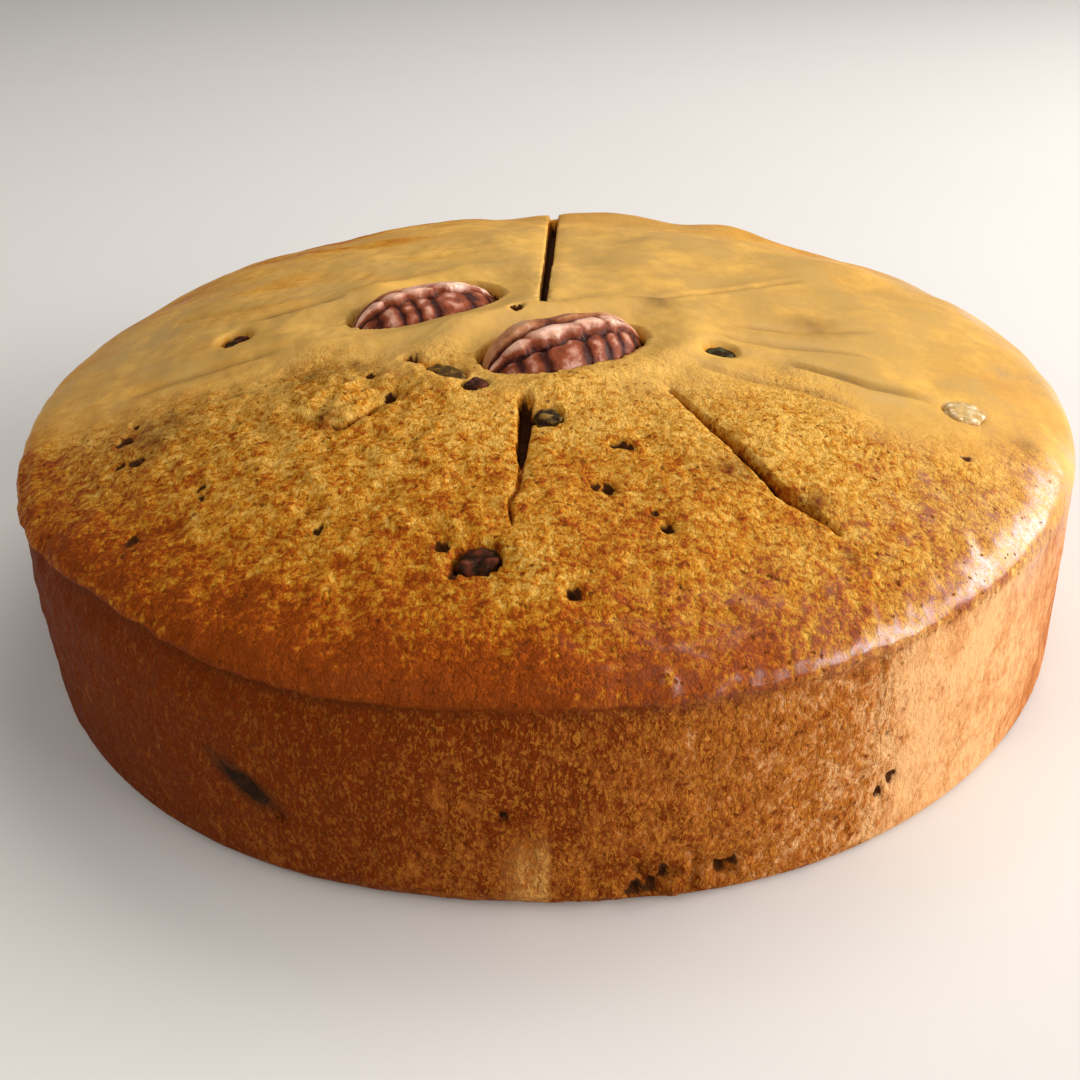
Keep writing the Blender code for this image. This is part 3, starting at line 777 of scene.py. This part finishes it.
def crust_mesh(settings):
    sheet, crown_rows = crust_sheet(settings)
    x, y, z = sheet[..., 0], sheet[..., 1], sheet[..., 2]
    angle = around_middle(x, y)[1]
    on_side = np.zeros(sheet.shape[:2], bool)
    on_side[crown_rows:] = True
    edge = y + 26 + 0.22 * np.clip(x, 0, None) + 12 * rough(sheet, 16.0, 11.0)
    sleek = ease(-15, 13, edge) * ease(CREASE_HEIGHT - 8, CREASE_HEIGHT + 4, z)
    sleek = np.maximum(sleek, 0.7 * ease(SEAM_AT, SEAM_AT + 0.1, angle) * on_side)
    ragged = rough(sheet, 1.3, 4.0)
    deep, sag, crease_shade = crust_hollows(x, y, ragged)
    for hollow in (deep, sag, crease_shade):
        hollow[on_side] = 0
    dark = date_edge(sheet)
    pits = np.maximum(crust_pits(sheet, ragged), 0.5 * (1 - ease(0.2, 1.0, dark)))
    crumb = bell(np.linalg.norm(sheet - LOOSE_CRUMB, axis=-1), 0.9)
    rise = crust_relief(sheet, angle, sleek, settings) + CRUMB_HEIGHT * crumb
    points = sheet + sheet_normals(sheet) * (rise - pits)[..., None]
    points[..., 2] -= deep + sag
    direction = np.degrees(angle)
    # Browner down the walls of cuts and pockets: painted shade.
    brown = crust_browning(sheet, angle, on_side) + 0.45 * ease(0.4, 1.6, deep)
    brown = brown + 0.15 * toward(angle, -79, 0.14) * ease(12, 7, z) - 0.8 * crumb
    masks = {
        "brown": np.clip(brown, 0, 1.2),
        "side": ease(CREASE_HEIGHT + 2.5, CREASE_HEIGHT - 1.5, z),
        # Cuts and pits take the moist crumb colour, and with it a painted shade.
        "hollow": np.clip(ease(1.2, 3.2, deep) + ease(0.15, 0.6, pits), 0, 1),
        "sleek": sleek,
        "stain_and_shade": crust_stain_and_shade(sheet, angle, crease_shade, dark, ragged),
        "bare": ease(-94.2, -91.2, direction) * ease(-89.6, -90.0, direction) * ease(17, 8, z),
        "fuzz": toward(angle, -78, 0.55) * ease(CREASE_HEIGHT + 2, CREASE_HEIGHT - 2, z),
        "drawn": ease(10, -30, x) * ease(28, 42, np.hypot(x, y)) * ease(0, 5, z - CREASE_HEIGHT),
        "gloss": np.clip(crust_gloss(sheet, angle, sleek) * (1 - crumb), 0, 1),
    }
    rows, columns = sheet.shape[:2]
    return add_mesh("crust", points.reshape(-1, 3), closed_sheet_faces(rows, columns), masks)


def crust_finish(settings):
    """Baked crust: golden to brown, fibrous and pored, with a faint oily sheen."""
    finish = Finish("crust", Specular_IOR_Level=0.03, Coat_Roughness=0.26, Coat_IOR=1.75)
    place = finish.place()
    brown, side, hollow = finish.mask("brown"), finish.mask("side"), finish.mask("hollow")
    sleek, stain_and_shade, bare, gloss = (finish.mask(name) for name in ("sleek", "stain_and_shade", "bare", "gloss"))
    fuzz, drawn = finish.mask("fuzz"), finish.mask("drawn")
    rugged = 1 - sleek
    pushed = place.warped(1.1, 0.5)
    upright = pushed.stretched((1.0, 1.0, 0.55))
    fibres = upright.grain(1.0, 3.0, 0.75) - 0.5
    strands = upright.grain(2.4, 3.0, 0.65) - 0.5
    threads = place.stretched((0.3, 1.0, 1.0)).warped(5.0, 2.0).grain(2.2, 3.0, 0.65) - 0.5
    furrow = threads.math("ABSOLUTE").ease(0.07, 0.0) * drawn * (rugged * 0.7 + 0.3)
    mottle = place.grain(4.0, 2.0) - 0.5
    patch = place.grain(15.0, 2.0) - 0.5
    speck = (pushed.cells(4.6) - patch * 0.5).ease(0.24, 0.08) * rugged
    pore = (pushed.cells(2.1) - mottle * 0.4).ease(0.20, 0.07) * rugged
    steady = (1.15 - brown * 0.4) * (1 - side * 0.25) * (rugged * 0.8 + 0.2)
    level = brown + rugged * 0.05 + (fibres * 2.2 + strands) * steady + mottle * 0.45
    # The furrow term is painted shade in the fine furrows.
    level = level + patch * (sleek * 0.4 + 0.35) + speck * 0.28 + furrow * 0.2 - threads * drawn * 0.8
    crown = level.ramp(
        (0.0, settings.golden), (0.45, settings.honey), (0.78, settings.amber), (1.0, settings.brown)
    )
    wall = level.ramp((0.1, settings.side_pale), (0.5, settings.side_mid), (0.9, settings.side_brown))
    skin = sleek * (brown.ease(0.55, 0.1) * (patch * 2.0 + mottle + 0.75))
    colour = side.blend(skin.blend(crown, rgba(settings.dough)), wall)
    lint = pushed.stretched((1.0, 1.0, 0.4)).grain(0.5, 2.0, 0.7) - 0.5
    flecks = (lint + strands * 0.35).ease(0.01, 0.13) * (fuzz * 0.5 + side * 0.06)
    colour = flecks.blend(colour, rgba(settings.fleck))
    colour = (bare * (0.6 + fibres * 4.0 + strands * 2.0)).blend(colour, rgba(settings.scraped))
    colour = (pore * 0.8).blend(colour, rgba(settings.pore))
    # Stains from fruit under the crust, with painted shade in creases and under the lip, in the moist crumb
    # colour.
    colour = (stain_and_shade + mottle * stain_and_shade).blend(colour, rgba(settings.moist_crumb_and_shade))
    # Inside cuts and pits: moist crumb, partly painted shade deep in the hollows.
    colour = (hollow + fibres * 0.5).ease(0.25, 0.7).blend(colour, rgba(settings.moist_crumb_and_shade))
    finish.feed("Base Color", colour)
    finish.feed("Roughness", 0.5 + fibres * 0.4 + hollow * 0.2)
    oil = gloss * (0.68 + fibres * 3.0 + mottle) + (1 - side) * 0.015
    finish.feed("Coat Weight", oil * (1 - hollow) * (1 - pore))
    relief = fibres * (rugged * 1.1 + 0.04) + strands * (rugged * 0.8 + 0.06)
    relief = relief + mottle * (rugged * 0.3 + 0.12) + lint * (fuzz * 0.5 + side * 0.06)
    finish.relief(relief - furrow * 0.45 - pore * 0.2)
    return finish.material


# Nuts


def pecan_frame(middle, thickness, turn, roll, stands_out):
    """The nut's own frame: its length along X, its back up, and the middle of its flat face at 0."""
    floor = float(crown_height(*middle)[0]) + stands_out - thickness
    return (
        Matrix.Translation((*middle, floor))
        @ Matrix.Rotation(math.radians(turn), 4, "Z")
        @ Matrix.Rotation(math.radians(roll), 4, "X")
    )


def pecan_points(length, width, thickness, clefts, settings, seed):
    """Points of a pecan half in rings along it, how high each stands in its lobe, lowered by painted shade
    in the grooves and on the near lobe and raised by a painted highlight on fold crests, and its tan skin.
    """
    rings, sides = 150, 128
    groove, fold = settings.groove / MM, settings.fold / MM
    along = -np.cos(math.pi * (np.arange(rings) + 0.5) / rings)[:, None]
    turn = (2 * math.pi * np.arange(sides) / sides)[None, :]
    across = np.cos(turn) * np.ones_like(along)
    upper = turn <= math.pi
    half = width / 2 * (1 - np.abs(along) ** 2.5) ** 0.55 * (1 - 0.10 * along)
    ends = (1 - np.abs(along) ** 3) ** 0.5
    arch = np.sqrt(np.clip(1 - np.abs(across) ** 2.3, 0, None)) ** 0.75
    near_place, far_place = clefts
    far_cleft = across - far_place - 0.16 * along - 0.03 * np.sin(7 * along + seed)
    scallops = 0.05 * np.abs(np.sin(9 * along + seed)) + 0.02 * np.sin(27 * along)
    near_cleft = across - near_place - 0.10 * along + scallops
    far_gap = (1 - ease(0.02, 0.15, np.abs(far_cleft))) * ease(1.1, 0.2, along)
    near_gap = 1 - ease(0.0, 0.16, np.where(near_cleft > 0, 1.6 * near_cleft, -near_cleft))
    cleft = np.maximum(far_gap, near_gap)
    far_lobe, near_lobe = ease(0.04, 0.16, far_cleft), ease(-0.02, -0.16, near_cleft)
    crown_lobe = np.clip(1 - far_lobe - near_lobe, 0, 1)
    beat = 3.3 * along + seed + 0.35 * np.sin(5 * along + seed)
    near_folds = np.abs(np.sin(math.pi * beat)) ** 0.6 - 0.75
    crown_folds = np.abs(np.sin(math.pi * (0.7 * beat + 0.35 + 0.9 * across))) ** 0.5 - 0.7
    far_folds = 0.25 * np.sin(4.4 * along + seed) + 0.15 * np.sin(11 * along)
    folds = near_folds * near_lobe + 0.4 * crown_folds * crown_lobe + far_folds * far_lobe
    bulge = folds * (1 - 0.5 * near_lobe)
    height = thickness * arch * ends - groove * cleft * (1 - along**4) * arch
    height += 1.2 * fold * bulge * ends * np.minimum(1, 1.6 * arch) - 0.9 * near_lobe * arch
    under = -0.9 * np.abs(np.sin(turn)) * (1 - along**4)
    points = np.stack([length / 2 * along + 0 * turn, half * across, under], axis=-1)
    fine = rough(np.stack([points[..., 0] * 0.5, points[..., 1], height * 0.7], axis=-1), 1.2, seed)
    points[..., 2] = np.where(upper, np.maximum(0.05, height + 0.16 * fine * arch), under)
    # The ridge value picks the skin colour: darker in the clefts and on the near lobe, which is painted
    # shade, and paler on fold crests, partly a painted highlight.
    ridge = 0.6 + 0.9 * folds - 1.2 * cleft + 0.3 * fine + 0.25 * crown_lobe - 0.22 * near_lobe
    return points, np.clip(ridge, 0, 1), far_lobe


def pecan_mesh(name, settings, number):
    middle, length, width, thickness, turn, roll, stands_out = PECANS[name]
    clefts = PECAN_CLEFTS[name]
    points, ridge, tan = pecan_points(length, width, thickness, clefts, settings, 1.7 + 2.4 * number)
    placed = np.array(pecan_frame(middle, thickness, turn, roll, stands_out))
    rows, columns = points.shape[:2]
    points = points.reshape(-1, 3) @ placed[:3, :3].T + placed[:3, 3]
    return add_mesh(name + "_half", points, closed_sheet_faces(rows, columns), {"ridge": ridge, "tan": tan})


def pecan_finish(settings):
    """Pecan skin: dark red-brown in the grooves, partly painted shade, pink-tan on the ridges with pale
    crests that are partly a painted highlight, softly glossy.
    """
    finish = Finish("pecan_skin", Specular_IOR_Level=0.1, Coat_Roughness=0.14)
    place = finish.place()
    ridge, tan = finish.mask("ridge"), finish.mask("tan")
    vein = place.warped(1.5, 0.5).grain(1.0, 4.0, 0.6) - 0.5
    cloud = place.grain(3.2, 2.0) - 0.5
    level = ridge + vein * 0.5 + cloud * 0.5
    # The dark groove end of this ramp is partly painted shade, and the pale crest end partly a painted
    # highlight.
    colour = level.ramp((0.1, settings.skin), (0.55, settings.ridge), (1.0, settings.pale_crest_and_highlight))
    colour = (tan * level.ease(0.2, 0.7) * 0.8).blend(colour, rgba(settings.tan))
    finish.feed("Base Color", colour)
    finish.feed("Roughness", 0.36 + vein * 0.3)
    finish.feed("Coat Weight", (cloud + 0.5).ease(0.42, 0.6) * level.ease(0.45, 0.95) * 0.8)
    finish.relief(vein * 0.22 + cloud * 0.2)
    return finish.material


# Fruit


def fruit_points(length, width, thickness, wrinkle, seed):
    """Points of a wrinkled oval in rings from its underside up, flat enough on top to fill its hollow."""
    rings, sides = 40, 56
    lift = (-math.pi / 2 + math.pi * (np.arange(rings) + 0.5) / rings)[:, None]
    turn = (2 * math.pi * np.arange(sides) / sides)[None, :]
    reach, rise = np.cos(lift) ** 0.5, np.sign(np.sin(lift)) * np.abs(np.sin(lift)) ** 0.85
    facing = np.stack([reach * np.cos(turn), reach * np.sin(turn), rise + 0 * turn], axis=-1)
    points = facing * (length / 2, width / 2, thickness / 2)
    creases = 1 - np.abs(rough(points * (0.6, 1, 1), 1.9, seed)) * 2.2
    lumps = rough(points, 3.2, seed + 4)
    points = points - facing * (wrinkle * (0.3 + creases) - 0.5 * wrinkle * lumps)[..., None]
    return points, np.clip(creases, 0, 1)


def place_fruit(name, spot, shape, wrinkle, seed):
    length, width, thickness, turn, sunk = shape
    place, normal = spot
    placed = np.array(facing_frame(place - normal * sunk, normal, turn))
    points, creases = fruit_points(length, width, thickness, wrinkle, seed)
    rows, columns = points.shape[:2]
    points = points[::-1].reshape(-1, 3) @ placed[:3, :3].T + placed[:3, 3]
    return add_mesh(name + "_fruit", points, closed_sheet_faces(rows, columns), {"crease": creases[::-1]})


def fruit_finish(name, body, glow, gloss, coat, shiny=0.6):
    """Dried fruit: darker in its wrinkles, a painted shade, with light coming through thin places."""
    finish = Finish(name, Specular_IOR_Level=0.05, Coat_Roughness=0.1)
    place = finish.place()
    crease = finish.mask("crease")
    cloud = place.grain(1.2, 3.0)
    # Darker in the wrinkles: painted shade.
    level = (cloud - 0.3) * 1.8 - crease * 0.35
    finish.feed("Base Color", level.ease(0.0, 0.9).blend(rgba(body), rgba(glow)))
    finish.feed("Roughness", gloss + (cloud - 0.5) * 0.2)
    finish.feed("Coat Weight", cloud.ease(shiny, shiny + 0.1) * coat)
    finish.relief(place.grain(0.6, 2.0) * 0.12)
    return finish.material


# Operators


def settings_of(context):
    return context.scene.fruitcake


def hand_over(piece, slot, *nodes):
    """The piece rides with the cake and stands for these nodes, whose solids are hidden. slot is not used.
    """
    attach(piece, BODY)
    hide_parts(*nodes)


class FRUITCAKE_OT_crust(bpy.types.Operator):
    """Makes the baked crust with its crease, knife cuts, pockets, pits and crumb"""

    bl_idname = "fruitcake.crust"
    bl_label = "Crust"

    def execute(self, context):
        settings = settings_of(context).crust
        piece = crust_mesh(settings)
        piece.data.materials.append(crust_finish(settings))
        hand_over(piece, "crust", "cake")
        return {"FINISHED"}


class FRUITCAKE_OT_pecans(bpy.types.Operator):
    """Makes the two pecan halves in the crown"""

    bl_idname = "fruitcake.pecans"
    bl_label = "Pecan halves"

    def execute(self, context):
        settings = settings_of(context).nut
        skin = pecan_finish(settings)
        for number, name in enumerate(PECANS):
            piece = pecan_mesh(name, settings, number)
            piece.data.materials.append(skin)
            hand_over(piece, "pecan", name)
        return {"FINISHED"}


class FRUITCAKE_OT_fruit(bpy.types.Operator):
    """Makes the dried fruit and the candied peel that show in the crust"""

    bl_idname = "fruitcake.fruit"
    bl_label = "Fruit"

    def execute(self, context):
        settings = settings_of(context).fruit
        wrinkle = settings.wrinkle / MM
        finishes = {
            "black": fruit_finish("black_fruit", settings.black, settings.amber, 0.3, 0.6),
            "dark": fruit_finish("dark_fruit", settings.black, settings.red, 0.38, 0.15),
            "olive": fruit_finish("olive_fruit", settings.black, settings.olive, 0.6, 0.0),
            "amber": fruit_finish("amber_fruit", settings.husk, settings.amber, 0.5, 0.3),
            "smear": fruit_finish("date_flesh", settings.black, settings.smear, 0.7, 0.0),
        }
        for number, (name, (middle, *shape, kind)) in enumerate(CROWN_FRUIT.items()):
            piece = place_fruit(name, crown_spot(*middle), shape, wrinkle, 3.1 * number)
            piece.data.materials.append(finishes[kind])
            hand_over(piece, "raisin", name)
        middle, *shape = DATE
        piece = place_fruit("date", side_spot(*middle), shape, wrinkle, 21.0)
        piece.data.materials.append(finishes["smear"])
        hand_over(piece, "raisin", "date")
        middle, *shape = PEEL
        piece = place_fruit("peel", crown_spot(*middle), shape, wrinkle, 27.0)
        # The peel's pale glow is partly a painted highlight.
        candied = fruit_finish("candied_peel", settings.syrup, settings.peel, 0.2, 1.0, 0.42)
        piece.data.materials.append(candied)
        hand_over(piece, "candied_peel", "peel")
        return {"FINISHED"}


def soft_lamp(name, direction, height, away, size, power, colour):
    """A soft square light that faces the cake from this direction and height, both in degrees."""
    light = bpy.data.lights.new(name, "AREA")
    light.shape = "RECTANGLE"
    light.size, light.size_y = size
    light.energy = power
    light.color = colour
    lamp = bpy.data.objects.new(name, light)
    level = away * math.cos(math.radians(height))
    turn = math.radians(direction)
    lamp.location = (level * math.cos(turn), level * math.sin(turn), away * math.sin(math.radians(height)))
    lamp.rotation_euler = (Vector((0, 0, 0.03)) - lamp.location).to_track_quat("-Z", "Y").to_euler()
    bpy.context.scene.collection.objects.link(lamp)


def floor_sheet(settings):
    """A wide pale floor under the cake."""
    reach = 3.0
    mesh = bpy.data.meshes.new("floor")
    corners = [(-reach, -reach, 0), (reach, -reach, 0), (reach, reach, 0), (-reach, reach, 0)]
    mesh.from_pydata(corners, [], [(0, 1, 2, 3)])
    floor = bpy.data.objects.new("floor", mesh)
    floor.location.z = -0.0002
    bpy.context.scene.collection.objects.link(floor)
    finish = Finish("floor", Roughness=0.85, Specular_IOR_Level=0.2)
    cloud = finish.place().grain(60.0, 3.0)
    colour = rgba(settings.floor)
    finish.feed("Base Color", cloud.blend(colour, tuple(0.97 * c for c in settings.floor) + (1.0,)))
    mesh.materials.append(finish.material)


class FRUITCAKE_OT_stage(bpy.types.Operator):
    """Makes the floor, the lights and the camera"""

    bl_idname = "fruitcake.stage"
    bl_label = "Stage"

    def execute(self, context):
        settings = settings_of(context).stage
        floor_sheet(settings)
        soft_lamp("window", -7, 22, 0.9, (1.3, 0.36), settings.window, (1.0, 0.96, 0.93))
        soft_lamp("back", 62, 62, 0.9, (0.6, 0.5), settings.back, (1.0, 0.96, 0.92))
        soft_lamp("fill", -120, 40, 0.9, (0.6, 0.6), settings.fill, (1.0, 0.95, 0.9))
        world = bpy.data.worlds.new("room")
        world.use_nodes = True
        backdrop = world.node_tree.nodes["Background"]
        backdrop.inputs["Color"].default_value = (1.0, 0.96, 0.92, 1.0)
        backdrop.inputs["Strength"].default_value = settings.room
        context.scene.world = world
        camera = bpy.data.objects.new("camera", bpy.data.cameras.new("camera"))
        camera.data.lens = settings.lens
        camera.data.clip_start = 0.01
        camera.location = settings.eye
        camera.rotation_euler = (math.pi / 2 - settings.tilt, 0, 0)
        context.scene.collection.objects.link(camera)
        context.scene.camera = camera
        context.scene.view_settings.view_transform = "Standard"
        return {"FINISHED"}


class FRUITCAKE_PT_sidebar(bpy.types.Panel):
    """Sizes and colours of the fruitcake, and the steps that make it"""

    bl_label = "Fruitcake"
    bl_space_type = "VIEW_3D"
    bl_region_type = "UI"
    bl_category = "Fruitcake"

    def draw(self, context):
        settings = settings_of(context)
        for group, operator in (
            ("crust", FRUITCAKE_OT_crust),
            ("nut", FRUITCAKE_OT_pecans),
            ("fruit", FRUITCAKE_OT_fruit),
            ("stage", FRUITCAKE_OT_stage),
        ):
            box = self.layout.box()
            box.operator(operator.bl_idname)
            for name in getattr(settings, group).__annotations__:
                box.prop(getattr(settings, group), name)


CLASSES = (
    CrustSettings,
    NutSettings,
    FruitSettings,
    StageSettings,
    FruitcakeSettings,
    FRUITCAKE_OT_crust,
    FRUITCAKE_OT_pecans,
    FRUITCAKE_OT_fruit,
    FRUITCAKE_OT_stage,
    FRUITCAKE_PT_sidebar,
)


def register():
    for kind in CLASSES:
        bpy.utils.register_class(kind)
    bpy.types.Scene.fruitcake = PointerProperty(type=FruitcakeSettings)


def unregister():
    del bpy.types.Scene.fruitcake
    for kind in reversed(CLASSES):
        bpy.utils.unregister_class(kind)


def main():
    register()
    bpy.ops.fruitcake.crust()
    bpy.ops.fruitcake.pecans()
    bpy.ops.fruitcake.fruit()
    bpy.ops.fruitcake.stage()


if __name__ == "__main__":
    main()
